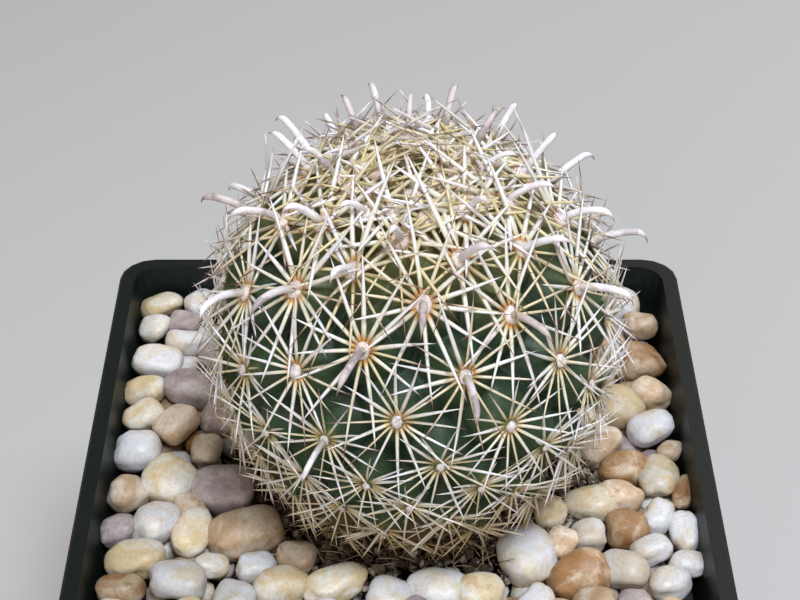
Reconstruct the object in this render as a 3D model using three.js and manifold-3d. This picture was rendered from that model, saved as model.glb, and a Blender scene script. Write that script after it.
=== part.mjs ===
// A small globe cactus in a square nursery pot, with potting soil and a top layer of river gravel.
// Millimetres, +Z up, origin at the middle of the pot's base.

import * as THREE from 'three';
import { mergeVertices } from 'three/addons/utils/BufferGeometryUtils.js';
import { ConvexGeometry } from 'three/addons/geometries/ConvexGeometry.js';
import Module from 'manifold-3d';

const wasm = await Module();
wasm.setup();

// Driving dimensions

const gap = 0.3; // between pieces that touch
const finestDetail = 0.005;

const pot = {
  width: 90,
  height: 80,
  baseWidth: 66,
  cornerRadius: 5,
  baseCornerRadius: 8,
  wall: 1.2,
  floor: 2,
  collarHeight: 12,
  collarThickness: 2.4,
  collarLedge: 0.6, // height of the slope under the collar
  collarRound: 0.4, // taken off the collar's top and bottom edges
  drainHoleRadius: 3.5,
  drainHoleOffset: 19,
  drainHoleSides: 16,
};

const fill = {
  soilBelowRim: 9.5, // soil surface
  bedThickness: 2.8, // lower stones of the top layer
  stoneCentreBelowRim: 5, // middle of the upper stones
};

const stem = {
  centre: new THREE.Vector3(2.1, 0.5, pot.height + 20.8),
  coreRadius: 22.2,
  tipRadius: 27.3, // from the centre to the tip of a tubercle
  heightRatio: 1.034, // of the upper half
  lowerHeightRatio: 1.2, // of the lower half
  surfacePoints: 700,
  clearOfAreole: 0.06, // of the radius, between a surface point and an areole
  tubercleReach: 0.66, // radius of a tubercle's foot, as a share of the spacing
  tubercleFlank: 1.6, // 1 gives a cone, more gives a rounder tubercle
  fullSpacing: 8, // areoles closer than this have lower tubercles
  leanTowardsFront: 3.7, // degrees
  leanToTheLeft: 0.7,
};

// The stem's foot and taproot, as radii at heights, all turned about one upright axis
const foot = {
  inGlobeRadius: 13,
  inGlobeAboveRim: 5,
  radius: 17,
  belowRim: 2.5,
  bottomRadius: 15,
  belowSoil: 1,
  rootTopRadius: 7,
  rootTopBelowFoot: 5,
  rootTipRadius: 2,
  rootDepth: 26, // below the soil surface
  holeRadius: 19.5, // of the hole in the stones, where they lie on the soil
  holeRimRadius: 21.5, // of that hole at the pot's rim
  sides: 24,
};

// Areoles follow one spiral with the golden angle. Number 0 faces the front, lower numbers are
// younger and nearer the crown. The angle from the crown is given at every 14th areole.
const areoles = {
  first: -58,
  last: 74,
  crown: -62, // where the spiral would reach the crown
  firstAzimuth: 265.1,
  step: -137.555,
  knotSpacing: 14,
  firstKnot: -36,
  polarAngles: [21, 40, 62, 81, 95, 103, 111.5, 125, 143],
};

const spines = {
  seed: 1000,
  perAreole: 5,
  perCrownAreole: 4,
  lastCrownAreole: -34,
  turnJitter: 0.3, // of the angle between two spines
  shortestShare: 0.85, // of the full length
  radius: 0.3,
  sides: 3,
  rootDepth: 1.3, // below the tubercle's tip
  rootRing: 0.5, // radius of the ring of roots round the areole
  lowerLength: 10,
  crownLength: 15,
  lowerRaise: 17, // degrees above the tubercle's tangent plane
  crownRaise: 50,
  lowestTip: pot.height - 1.4, // areoles below this height have lost their spines
};

// Only these areoles bear a hooked central spine: the crown's are too young, and the lower ones have
// lost it, all but one.
const hooks = {
  seed: 5000,
  first: -46,
  last: -6,
  lone: 8,
  radius: 0.5,
  length: 9.6,
  youngest: -30, // from here up to the crown they get shorter
  shorterPerAreole: 0.02,
  gentleShare: 0.8, // of the length, before the sharp bend at the end
  gentleBend: 35, // degrees
  sharpBend: 85,
  steps: 4,
  sides: 3,
  spread: 20, // degrees to either side of straight down
};

// Turn of single hooks about their areole, in degrees from straight down, positive to the right
const hookTurns = {
  '8': -10, '-6': -15, '-8': -10, '-10': 40, '-11': 0, '-13': -10, '-14': -5, '-15': -10,
  '-16': 10, '-17': 20, '-18': 10, '-19': -30, '-20': 0, '-21': -10, '-22': 15, '-23': 20,
  '-24': 20, '-25': 5, '-26': 10, '-27': 40, '-28': -20, '-29': 55, '-38': -10,
};

// Upper stones: middle x and y, length, width and turn of the length about Z in degrees
const stones = [
  [-38.5, 38.5, 7, 5.5, 10], [-39, 33, 5.5, 5, 80], [-32, 39, 6, 5.5, 40], [-34.5, 34, 5.5, 5, 0],
  [-33.5, 29.5, 7, 5, 10], [-37.5, 24.5, 8.5, 6, -5], [-29.5, 25.5, 5, 4, 70], [-32, 18, 8.5, 6.5, -15],
  [-39, 17.5, 6.5, 5.5, 0], [-38.5, 11.5, 6.5, 5.5, 40], [-33.5, 9.5, 7.5, 6.5, 60],
  [-38.8, 4, 7.5, 6.5, 0], [-27, 11, 6.5, 5.5, -30], [-28.5, 4.5, 7.5, 4.5, 85],
  [-33, -2.5, 9.5, 8, 70], [-25, -4.5, 10.5, 8, -5], [-39.2, -5, 6.5, 6, 30],
  [-34.5, -11.5, 8, 7, 70], [-29, -13, 8.5, 5.5, 70], [-21.5, -13.5, 11.5, 8, 22],
  [-39.4, -13, 5.5, 5, 10], [-36.5, -18.5, 8.5, 6, 12], [-38.2, -24, 7, 5.5, 5],
  [-30.5, -22.5, 8.5, 6.5, -8], [-25.8, -19.5, 5, 4, 30], [-19.5, -20, 6, 5, 10],
  [-16, -23.5, 8.5, 6, 38], [-8.5, -23, 10, 5.5, 22], [-1, -25.5, 7, 6, -10],
  [5.5, -24, 8.5, 6.5, 5], [11.5, -24.8, 7.5, 6, 0], [17.8, -17.5, 10.5, 8, 100],
  [21.5, -9.5, 6, 5, 60], [27.5, -7, 8.5, 6.5, -20], [27, -13.5, 5.5, 5, 0],
  [22.8, -15.2, 5.5, 4.5, 60], [24.8, -21.2, 9, 7, 15], [31, -20.5, 7, 6, -20],
  [32.2, -12.5, 6.5, 6, 0], [36.8, -9.8, 6.5, 5, 60], [35.2, -16.5, 6, 5, 20],
  [38.8, 34, 6, 5.5, 0], [38, 24.5, 8, 7, 15], [38.8, 16.5, 6.5, 6, -30],
  [33.5, 14, 8, 7.5, 20], [37.8, 8.8, 7.5, 5.5, 20], [40.2, 4, 4.5, 3.5, 60],
  [30, 5, 7.5, 6, 60], [33, 0, 7.5, 5.5, 0], [38, -1.5, 9.5, 6, 80], [41, -5, 7, 3, 80],
  [32, -5.8, 6.5, 6, 20], [40.4, -13, 7, 4.5, 80], [40, -19.2, 5.5, 4.5, 0],
  [37.2, -23, 6, 5.5, 60], [32.5, 28, 7, 6, -20], [32, 34.5, 6.5, 5.5, 30], [31.5, 21, 6, 5, 70],
];

const stoneFill = {
  seed: 41,
  tries: 4000,
  smallest: 5,
  largest: 8,
  narrowest: 0.7, // width as a share of the length
  widest: 0.95,
  overlap: 0.84, // share of the two radii that must separate two stones
  fromStem: 25, // bare soil round the stem's foot
};

const stoneShape = {
  radius: 0.55, // a little over half, because few sides lie inside the round
  around: 5,
  rings: 4,
  flatness: 0.75, // height as a share of the width
};

const colours = {
  pot: 0x1c2624,
  soil: 0x2a2019,
  gravel: 0xd9cbb2,
  cactus: 0x4a6a4c,
};

// Helpers

const degrees = THREE.MathUtils.degToRad;
const lerp = THREE.MathUtils.lerp;
const up = new THREE.Vector3(0, 0, 1);

function makeRandom(seed) {
  let state = seed;
  return () => {
    state = (state * 16807) % 2147483647;
    return state / 2147483647;
  };
}

function toSolid(geometry) {
  const bare = geometry.clone();
  bare.deleteAttribute('normal');
  bare.deleteAttribute('uv');
  const merged = mergeVertices(bare, 1e-4);
  return new wasm.Manifold(new wasm.Mesh({
    numProp: 3,
    vertProperties: new Float32Array(merged.attributes.position.array),
    triVerts: new Uint32Array(merged.index.array),
  }));
}

function toGeometry(solid) {
  const mesh = solid.getMesh();
  const geometry = new THREE.BufferGeometry();
  geometry.setAttribute('position', new THREE.BufferAttribute(mesh.vertProperties, 3));
  geometry.setIndex(new THREE.BufferAttribute(mesh.triVerts, 1));
  return geometry;
}

// Joining many small solids can leave loose scraps, sealed bubbles and slivers: only the main body
// stays, without edges shorter than the finest detail.
function mainBody(solid) {
  const clean = solid.asOriginal().simplify(finestDetail);
  return clean.decompose().reduce((best, body) => (body.volume() > best.volume() ? body : best));
}

function roundedSquare(width, radius) {
  const half = width / 2;
  const inner = half - radius;
  const outline = new THREE.Shape();
  outline.absarc(inner, -inner, radius, -Math.PI / 2, 0);
  outline.absarc(inner, inner, radius, 0, Math.PI / 2);
  outline.absarc(-inner, inner, radius, Math.PI / 2, Math.PI);
  outline.absarc(-inner, -inner, radius, Math.PI, 1.5 * Math.PI);
  return outline.getPoints(2).slice(0, -1);
}

// A closed body through level rounded squares, each { z, width, radius }, from the bottom up
function stackSquares(levels) {
  const rings = levels.map((level) => roundedSquare(level.width, level.radius));
  const count = rings[0].length;
  const points = [];
  rings.forEach((ring, i) => ring.forEach((p) => points.push(p.x, p.y, levels[i].z)));
  const bottom = points.length / 3;
  const top = bottom + 1;
  points.push(0, 0, levels[0].z, 0, 0, levels.at(-1).z);
  const faces = [];
  const lastRing = (rings.length - 1) * count;
  for (let j = 0; j < count; j += 1) {
    const next = (j + 1) % count;
    for (let start = 0; start < lastRing; start += count) {
      faces.push(start + j, start + next, start + count + next);
      faces.push(start + j, start + count + next, start + count + j);
    }
    faces.push(bottom, next, j, top, lastRing + j, lastRing + next);
  }
  const geometry = new THREE.BufferGeometry();
  geometry.setAttribute('position', new THREE.Float32BufferAttribute(points, 3));
  geometry.setIndex(faces);
  return toSolid(geometry);
}

// A round body about a vertical axis through (x, y), from [radius, z] pairs, the lowest first
function turned(profile, x, y, sides) {
  const points = profile.map(([radius, z]) => new THREE.Vector2(radius, z));
  const geometry = new THREE.LatheGeometry(points, sides);
  geometry.rotateX(Math.PI / 2);
  geometry.translate(x, y, 0);
  return toSolid(geometry);
}

// Pot

const collarBottom = pot.height - pot.collarHeight;
const innerTopWidth = pot.width - 2 * pot.collarThickness;
const innerBaseWidth = pot.baseWidth - 2 * pot.wall;

// Inside width of the tapered pot at a height
function innerWidthAt(z) {
  return lerp(innerBaseWidth, innerTopWidth, (z - pot.floor) / (pot.height - pot.floor));
}

function innerCorner(z) {
  return lerp(pot.baseCornerRadius, pot.cornerRadius, z / pot.height) - pot.wall;
}

// The pot's inside between two heights, kept clear of the wall by a margin
function insideOfPot(low, high, margin) {
  const level = (z) => ({ z, width: innerWidthAt(z) - 2 * margin, radius: innerCorner(z) });
  return stackSquares([level(low), level(high)]);
}

function makePot() {
  const wallWidth = innerWidthAt(collarBottom) + 2 * pot.wall;
  const edgeWidth = pot.width - 2 * pot.collarRound;
  const body = stackSquares([
    { z: 0, width: pot.baseWidth, radius: pot.baseCornerRadius },
    { z: collarBottom, width: wallWidth, radius: pot.cornerRadius },
    { z: collarBottom + pot.collarLedge, width: edgeWidth, radius: pot.cornerRadius },
    { z: pot.height - pot.collarRound, width: pot.width, radius: pot.cornerRadius },
    { z: pot.height, width: edgeWidth, radius: pot.cornerRadius },
  ]);
  let solid = body.subtract(insideOfPot(pot.floor, pot.height + 1, 0));
  for (const [sx, sy] of [[1, 1], [-1, 1], [-1, -1], [1, -1]]) {
    const hole = turned(
      [[0, -1], [pot.drainHoleRadius, -1], [pot.drainHoleRadius, pot.floor + 1], [0, pot.floor + 1]],
      sx * pot.drainHoleOffset,
      sy * pot.drainHoleOffset,
      pot.drainHoleSides,
    );
    solid = solid.subtract(hole);
  }
  return solid;
}

// Cactus

// The share of the globe's height above each areole grows evenly between the given angles.
const capHeights = [0, ...areoles.polarAngles.map((angle) => 1 - Math.cos(degrees(angle)))];

function polarAngle(number) {
  const { crown, firstKnot, knotSpacing } = areoles;
  if (number < firstKnot) {
    const share = (number - crown) / (firstKnot - crown);
    return Math.acos(1 - capHeights[1] * share);
  }
  const place = (number - firstKnot) / knotSpacing;
  const knot = Math.min(Math.floor(place), capHeights.length - 3);
  return Math.acos(1 - lerp(capHeights[knot + 1], capHeights[knot + 2], place - knot));
}

const lean = new THREE.Matrix4().makeRotationY(degrees(-stem.leanToTheLeft))
  .multiply(new THREE.Matrix4().makeRotationX(degrees(stem.leanTowardsFront)));

// Direction from the globe's centre, before its stretch and its lean
function areoleDirection(number) {
  const angle = polarAngle(number);
  const azimuth = degrees(areoles.firstAzimuth + areoles.step * number);
  return new THREE.Vector3(
    Math.sin(angle) * Math.cos(azimuth),
    Math.sin(angle) * Math.sin(azimuth),
    Math.cos(angle),
  );
}

function stretch(direction) {
  return direction.z > 0 ? stem.heightRatio : stem.lowerHeightRatio;
}

function placeOnStem(direction, radius) {
  const point = direction.clone().multiplyScalar(radius);
  point.z *= stretch(direction);
  return point.applyMatrix4(lean).add(stem.centre);
}

function makeAreole(number) {
  const direction = areoleDirection(number);
  const share = Math.cos(polarAngle(number - 0.5)) - Math.cos(polarAngle(number + 0.5));
  const spacing = Math.sqrt((2 * Math.PI * share * 2) / Math.sqrt(3)) * stem.tipRadius;
  const normal = direction.clone().setZ(direction.z / stretch(direction)).normalize();
  const side = new THREE.Vector3().crossVectors(up, direction).normalize();
  const upward = new THREE.Vector3().crossVectors(normal, side);
  return {
    number,
    direction,
    spacing,
    tip: placeOnStem(direction, stem.tipRadius),
    normal: normal.applyMatrix4(lean),
    side: side.applyMatrix4(lean),
    upward: upward.applyMatrix4(lean),
  };
}

const allAreoles = [];
for (let number = areoles.first; number <= areoles.last; number += 1) {
  allAreoles.push(makeAreole(number));
}

// Radius of the stem along a direction: a round core with one rounded cone for each areole
function stemRadius(direction) {
  const highest = stem.tipRadius - stem.coreRadius;
  let height = 0;
  for (const areole of allAreoles) {
    const distance = direction.distanceTo(areole.direction) * stem.tipRadius;
    const reach = distance / (stem.tubercleReach * areole.spacing);
    if (reach < 1) {
      const own = Math.min(1, areole.spacing / stem.fullSpacing) * highest;
      height = Math.max(height, highest - own * reach ** stem.tubercleFlank);
    }
  }
  return stem.coreRadius + height;
}

// Even points over a globe, which thin out where an areole already has its own
function stemDirections() {
  const directions = allAreoles.map((areole) => areole.direction);
  for (let i = 0; i < stem.surfacePoints; i += 1) {
    const z = 1 - (2 * i + 1) / stem.surfacePoints;
    const azimuth = i * Math.PI * (3 - Math.sqrt(5));
    const across = Math.sqrt(1 - z * z);
    const point = new THREE.Vector3(across * Math.cos(azimuth), across * Math.sin(azimuth), z);
    if (allAreoles.every((areole) => areole.direction.distanceTo(point) > stem.clearOfAreole)) {
      directions.push(point);
    }
  }
  return directions;
}

function makeStem() {
  const geometry = new ConvexGeometry(stemDirections());
  const position = geometry.attributes.position;
  const direction = new THREE.Vector3();
  for (let i = 0; i < position.count; i += 1) {
    direction.fromBufferAttribute(position, i);
    const point = placeOnStem(direction, stemRadius(direction));
    position.setXYZ(i, point.x, point.y, point.z);
  }
  return toSolid(geometry);
}

const soilTop = pot.height - fill.soilBelowRim;
const footTop = pot.height - foot.belowRim;
const footBottom = soilTop - foot.belowSoil;

// The foot stands under the leaning globe, where its axis meets the rim's height.
const footPlace = new THREE.Vector3(0, 0, pot.height - stem.centre.z)
  .applyMatrix4(lean)
  .add(stem.centre);

// The buried outline from the root's tip up to the foot's bottom, made larger by a margin
function rootProfile(margin) {
  return [
    [0, soilTop - foot.rootDepth - margin],
    [foot.rootTipRadius + margin, soilTop - foot.rootDepth - margin],
    [foot.rootTopRadius + margin, footBottom - foot.rootTopBelowFoot - margin],
    [foot.bottomRadius + margin, footBottom - margin],
  ];
}

function makeFootAndRoot() {
  const globeHeight = pot.height + foot.inGlobeAboveRim;
  const profile = [
    ...rootProfile(0),
    [foot.radius, footTop],
    [foot.inGlobeRadius, globeHeight],
    [0, globeHeight],
  ];
  return turned(profile, footPlace.x, footPlace.y, foot.sides);
}

// The plain hole in the soil and the stones that the plant stands in
function makePlantHole() {
  const profile = [
    ...rootProfile(gap),
    [foot.holeRadius, soilTop],
    [foot.holeRimRadius, pot.height],
    [0, pot.height],
  ];
  return turned(profile, footPlace.x, footPlace.y, foot.sides);
}

// Share of the way from the oldest areole to the crown
function youth(number) {
  return (areoles.last - number) / (areoles.last - areoles.first);
}

function makeSpines(areole) {
  const random = makeRandom(spines.seed + areole.number);
  const young = youth(areole.number) ** 3;
  const length = lerp(spines.lowerLength, spines.crownLength, young);
  const raise = degrees(lerp(spines.lowerRaise, spines.crownRaise, young));
  const firstTurn = random() * 360;
  const solids = [];
  const crowded = areole.number <= spines.lastCrownAreole;
  const count = crowded ? spines.perCrownAreole : spines.perAreole;
  for (let i = 0; i < count; i += 1) {
    const turn = degrees(firstTurn + (360 * (i + spines.turnJitter * random())) / count);
    const own = length * lerp(spines.shortestShare, 1, random());
    const sideways = new THREE.Vector3()
      .addScaledVector(areole.side, Math.cos(turn))
      .addScaledVector(areole.upward, Math.sin(turn));
    const start = areole.tip.clone()
      .addScaledVector(areole.normal, -spines.rootDepth)
      .addScaledVector(sideways, spines.rootRing);
    const aim = sideways.multiplyScalar(Math.cos(raise))
      .addScaledVector(areole.normal, Math.sin(raise))
      .setLength(own);
    aim.z = Math.max(aim.z, spines.lowestTip - start.z);
    const needle = new THREE.ConeGeometry(spines.radius, aim.length(), spines.sides);
    needle.translate(0, aim.length() / 2, 0);
    needle.applyQuaternion(new THREE.Quaternion().setFromUnitVectors(
      new THREE.Vector3(0, 1, 0),
      aim.normalize(),
    ));
    needle.translate(start.x, start.y, start.z);
    solids.push(toSolid(needle));
  }
  return solids;
}

// The hooked central spine leaves its areole straight out, sweeps over gently and ends in a sharp bend.
class HookPath extends THREE.Curve {
  constructor(start, outward, over, length) {
    super();
    this.start = start;
    this.outward = outward;
    this.over = over;
    this.length = length;
  }

  getPoint(t, target = new THREE.Vector3()) {
    const gentle = degrees(hooks.gentleBend);
    const share = Math.min(t / hooks.gentleShare, 1);
    const wide = (this.length * hooks.gentleShare) / gentle;
    const angle = gentle * share;
    const sharp = degrees(hooks.sharpBend);
    const tight = (this.length * (1 - hooks.gentleShare)) / sharp;
    const turn = sharp * Math.max(0, (t - hooks.gentleShare) / (1 - hooks.gentleShare));
    const onward = tight * Math.sin(turn);
    const across = tight * (1 - Math.cos(turn));
    return target.copy(this.start)
      .addScaledVector(this.outward, wide * Math.sin(angle))
      .addScaledVector(this.over, wide * (1 - Math.cos(angle)))
      .addScaledVector(this.outward, onward * Math.cos(gentle) - across * Math.sin(gentle))
      .addScaledVector(this.over, onward * Math.sin(gentle) + across * Math.cos(gentle));
  }
}

function makeHook(areole) {
  const random = makeRandom(hooks.seed + areole.number);
  const drawn = (2 * random() - 1) * hooks.spread;
  const turn = degrees(hookTurns[String(areole.number)] ?? drawn);
  const over = new THREE.Vector3()
    .addScaledVector(areole.side, Math.sin(turn))
    .addScaledVector(areole.upward, -Math.cos(turn));
  const start = areole.tip.clone().addScaledVector(areole.normal, -spines.rootDepth);
  const young = Math.max(0, hooks.youngest - areole.number);
  const length = hooks.length * (1 - hooks.shorterPerAreole * young);
  const path = new HookPath(start, areole.normal, over, length + spines.rootDepth);
  const corners = [];
  for (let i = 0; i < hooks.sides; i += 1) {
    const angle = (i * 2 * Math.PI) / hooks.sides;
    corners.push(new THREE.Vector2(Math.cos(angle), Math.sin(angle)).multiplyScalar(hooks.radius));
  }
  const section = new THREE.Shape(corners);
  return toSolid(new THREE.ExtrudeGeometry(section, { steps: hooks.steps, extrudePath: path }));
}

function makeCactus() {
  const solids = [makeStem(), makeFootAndRoot()];
  for (const areole of allAreoles) {
    if (areole.tip.z > spines.lowestTip) {
      solids.push(...makeSpines(areole));
    }
    const inRange = areole.number >= hooks.first && areole.number <= hooks.last;
    if (inRange || areole.number === hooks.lone) {
      solids.push(makeHook(areole));
    }
  }
  return mainBody(wasm.Manifold.union(solids));
}

// Soil and gravel

function makeSoil() {
  const body = insideOfPot(pot.floor + gap, soilTop, gap);
  return body.subtract(makePlantHole());
}

// Stones between the placed ones, each where it clears its neighbours
function fillStones() {
  const random = makeRandom(stoneFill.seed);
  const placed = stones.map((stone) => [...stone]);
  const half = innerWidthAt(pot.height) / 2;
  for (let i = 0; i < stoneFill.tries; i += 1) {
    const length = lerp(stoneFill.smallest, stoneFill.largest, random());
    const width = length * lerp(stoneFill.narrowest, stoneFill.widest, random());
    const edge = half - gap - length / 2;
    const x = (2 * random() - 1) * edge;
    const y = (2 * random() - 1) * edge;
    const turn = 180 * random();
    const fromStem = Math.hypot(x - footPlace.x, y - footPlace.y);
    const clear = placed.every((other) => Math.hypot(x - other[0], y - other[1])
      > stoneFill.overlap * (length + width + other[2] + other[3]) / 4);
    if (clear && fromStem > stoneFill.fromStem) {
      placed.push([x, y, length, width, turn]);
    }
  }
  return placed;
}

function makeStone([x, y, length, width, turn]) {
  const geometry = new THREE.SphereGeometry(
    stoneShape.radius,
    stoneShape.around,
    stoneShape.rings,
  );
  geometry.rotateX(Math.PI / 2);
  geometry.scale(length, width, stoneShape.flatness * width);
  geometry.rotateZ(degrees(turn));
  geometry.translate(x, y, pot.height - fill.stoneCentreBelowRim);
  return toSolid(geometry);
}

function makeGravel() {
  const low = soilTop + gap;
  const bed = insideOfPot(low, low + fill.bedThickness, gap);
  const layer = wasm.Manifold.union([bed, ...fillStones().map(makeStone)]);
  const fitted = layer.intersect(insideOfPot(low, pot.height, gap));
  return mainBody(fitted.subtract(makePlantHole()));
}

// The whole plant

function piece(name, solid, color, roughness) {
  const material = new THREE.MeshStandardMaterial({ color, roughness, metalness: 0 });
  const mesh = new THREE.Mesh(toGeometry(solid), material);
  mesh.name = name;
  return mesh;
}

const plant = new THREE.Group();
plant.add(piece('pot', makePot(), colours.pot, 0.5));
plant.add(piece('potting_soil', makeSoil(), colours.soil, 1));
plant.add(piece('gravel', makeGravel(), colours.gravel, 0.7));
plant.add(piece('cactus', makeCactus(), colours.cactus, 0.6));

export default plant;
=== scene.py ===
from math import acos, cos, hypot, pi, radians, sin, sqrt

import bmesh
import bpy
import numpy as np
from mathutils import Matrix, Vector


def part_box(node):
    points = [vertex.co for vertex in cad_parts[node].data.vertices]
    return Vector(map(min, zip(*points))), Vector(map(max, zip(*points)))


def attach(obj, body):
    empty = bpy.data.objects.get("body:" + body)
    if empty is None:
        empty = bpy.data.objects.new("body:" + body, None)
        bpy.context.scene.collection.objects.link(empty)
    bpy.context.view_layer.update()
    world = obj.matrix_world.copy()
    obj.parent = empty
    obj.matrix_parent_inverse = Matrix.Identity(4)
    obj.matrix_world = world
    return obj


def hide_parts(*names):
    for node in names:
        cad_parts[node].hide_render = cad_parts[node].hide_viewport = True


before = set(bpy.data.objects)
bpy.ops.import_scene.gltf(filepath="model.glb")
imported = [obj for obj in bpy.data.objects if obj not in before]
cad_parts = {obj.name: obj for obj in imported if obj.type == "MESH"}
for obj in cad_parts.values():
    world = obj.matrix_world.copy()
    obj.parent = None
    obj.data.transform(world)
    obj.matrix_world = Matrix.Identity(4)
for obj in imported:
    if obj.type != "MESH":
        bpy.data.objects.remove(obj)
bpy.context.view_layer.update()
mm = 0.001

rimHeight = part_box("pot")[1].z
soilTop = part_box("potting_soil")[1].z

# Camera, floor and light

camera = dict(
    elevation=38.0,  # degrees above level
    place=(0.0, -203.2 * mm, rimHeight + 185.2 * mm),
    lens=85.1,
    sensor=36.0,
    shift=0.0019,
    nearest=10 * mm,
)

studio = dict(
    floorSize=3.0,
    floorColour=(0.475, 0.48, 0.495),
    floorRoughness=0.8,
    worldColour=(1.0, 0.9, 0.77),
    worldStrength=0.3,
    lampsAimAt=(0, 0, rimHeight + 10 * mm),
)

# Place, size, power and colour of each lamp
lamps = {
    "key": ((0.13, -0.25, 0.8), 0.26, 6.4, (0.85, 0.92, 1.0)),
    "fill": ((-0.25, -0.75, 0.3), 0.5, 2.4, (1.0, 0.9, 0.76)),
    "back": ((0.35, 0.4, 0.5), 0.4, 1.6, (1.0, 0.92, 0.82)),
}


def addObject(name, data):
    added = bpy.data.objects.new(name, data)
    bpy.context.scene.collection.objects.link(added)
    return added


def addCamera():
    lens = bpy.data.cameras.new("camera")
    lens.lens = camera["lens"]
    lens.sensor_width = camera["sensor"]
    lens.shift_x = camera["shift"]
    lens.clip_start = camera["nearest"]
    seer = addObject("camera", lens)
    seer.location = camera["place"]
    seer.rotation_euler = (radians(90 - camera["elevation"]), 0, 0)
    bpy.context.scene.camera = seer


def addLamp(name):
    place, size, power, colour = lamps[name]
    lamp = bpy.data.lights.new(name, "AREA")
    lamp.size = size
    lamp.energy = power
    lamp.color = colour
    holder = addObject(name, lamp)
    holder.location = place
    aim = Vector(studio["lampsAimAt"]) - Vector(place)
    holder.rotation_euler = aim.to_track_quat("-Z", "Y").to_euler()


def addStudio():
    bpy.context.scene.view_settings.view_transform = "Standard"
    floor = bpy.data.meshes.new("floor")
    half = studio["floorSize"] / 2
    corners = [(x * half, y * half, 0) for x, y in ((-1, -1), (1, -1), (1, 1), (-1, 1))]
    floor.from_pydata(corners, [], [(0, 1, 2, 3)])
    material = newMaterial("floor")[0]
    paint = {"Base Color": studio["floorColour"], "Roughness": studio["floorRoughness"]}
    setInputs(material.node_tree.nodes["Principled BSDF"], paint)
    floor.materials.append(material)
    addObject("floor", floor)
    world = bpy.data.worlds.new("studio")
    world.use_nodes = True
    sky = {"Color": studio["worldColour"], "Strength": studio["worldStrength"]}
    setInputs(world.node_tree.nodes["Background"], sky)
    bpy.context.scene.world = world
    for name in lamps:
        addLamp(name)


# Nodes, for geometry and shader trees alike


# A node's output, which adds, multiplies and so on like a number or a vector
class Wire:
    def __init__(self, socket):
        self.socket = socket
        self.tree = socket.id_data
        self.isVector = socket.type == "VECTOR"

    # Another output of the same node
    def also(self, output):
        return Wire(self.socket.node.outputs[output])

    def maths(self, operation, *others):
        kind = "ShaderNodeVectorMath" if self.isVector else "ShaderNodeMath"
        return addNode(self.tree, kind, dict(enumerate((self, *others))), operation=operation)

    def mapped(self, low, high, newLow=0.0, newHigh=1.0, curve="LINEAR"):
        inputs = {"Value": self, "From Min": low, "From Max": high, "To Min": newLow, "To Max": newHigh}
        return addNode(self.tree, "ShaderNodeMapRange", inputs, interpolation_type=curve)

    def parts(self):
        x = addNode(self.tree, "ShaderNodeSeparateXYZ", {0: self})
        return x, x.also(1), x.also(2)

    def __add__(self, other):
        return self.maths("ADD", other)

    __radd__ = __add__

    def __sub__(self, other):
        return self.maths("SUBTRACT", other)

    def __rsub__(self, number):
        return addNode(self.tree, "ShaderNodeMath", {0: number, 1: self}, operation="SUBTRACT")

    def __mul__(self, other):
        if self.isVector and not getattr(other, "isVector", False):
            return addNode(self.tree, "ShaderNodeVectorMath", {0: self, "Scale": other}, operation="SCALE")
        return self.maths("MULTIPLY", other)

    def __truediv__(self, other):
        return self.maths("DIVIDE", other)

    def __rtruediv__(self, number):
        return addNode(self.tree, "ShaderNodeMath", {0: number, 1: self}, operation="DIVIDE")


# Links or sets a node's inputs. A colour is given without its alpha.
def setInputs(node, values):
    for key, value in values.items():
        socket = node.inputs[key]
        if isinstance(value, Wire):
            value.tree.links.new(value.socket, socket)
        elif socket.type == "RGBA":
            socket.default_value = (*value, 1)
        else:
            socket.default_value = value


def addNode(tree, kind, inputs=None, output=0, **settings):
    node = tree.nodes.new(kind)
    for name, value in settings.items():
        setattr(node, name, value)
    setInputs(node, inputs or {})
    return Wire(node.outputs[output])


def combine(x, y, z):
    return addNode(x.tree, "ShaderNodeCombineXYZ", {0: x, 1: y, 2: z})


def noise(place, scale, detail, rough, distortion=0.0):
    inputs = {"Vector": place, "Scale": scale, "Detail": detail, "Roughness": rough, "Distortion": distortion}
    return addNode(place.tree, "ShaderNodeTexNoise", inputs)


def newSocket(tree, label, kind, side="INPUT"):
    return tree.interface.new_socket(label, in_out=side, socket_type="NodeSocket" + kind)


def groupInputs(tree):
    return {socket.name: Wire(socket) for socket in tree.nodes.new("NodeGroupInput").outputs}


# Geometry nodes


# Starts a tree whose inputs have the names and values of some settings of a piece
def newGeometryTree(name, settings, *chosen):
    tree = bpy.data.node_groups.new(name, "GeometryNodeTree")
    newSocket(tree, "Geometry", "Geometry")
    for label in chosen:
        kind = "Int" if isinstance(settings[label], int) else "Float"
        newSocket(tree, label, kind).default_value = settings[label]
    newSocket(tree, "Material", "Material")
    newSocket(tree, "Geometry", "Geometry", "OUTPUT")
    return tree, groupInputs(tree)


def endTree(geometry, given, rounded=True):
    tree = geometry.tree
    smooth = addNode(tree, "GeometryNodeSetShadeSmooth", {"Geometry": geometry, "Shade Smooth": rounded})
    painted = addNode(tree, "GeometryNodeSetMaterial", {"Geometry": smooth, "Material": given["Material"]})
    setInputs(tree.nodes.new("NodeGroupOutput"), {0: painted})


def readNumber(tree, name, kind="FLOAT"):
    return addNode(tree, "GeometryNodeInputNamedAttribute", {"Name": name}, "Attribute", data_type=kind)


def readVectors(tree, *names):
    return [readNumber(tree, name, "FLOAT_VECTOR") for name in names]


def store(geometry, domain="POINT", **layers):
    for name, value in layers.items():
        tree = geometry.tree
        inputs = {"Geometry": geometry, "Name": name, "Value": value}
        kind = "FLOAT_VECTOR" if value.isVector else "FLOAT"
        geometry = addNode(tree, "GeometryNodeStoreNamedAttribute", inputs, data_type=kind, domain=domain)
    return geometry


def randomValue(low, high, seed):
    inputs = {2: low, 3: high, "Seed": seed}
    return addNode(seed.tree, "FunctionNodeRandomValue", inputs, 1, data_type="FLOAT")


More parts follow.
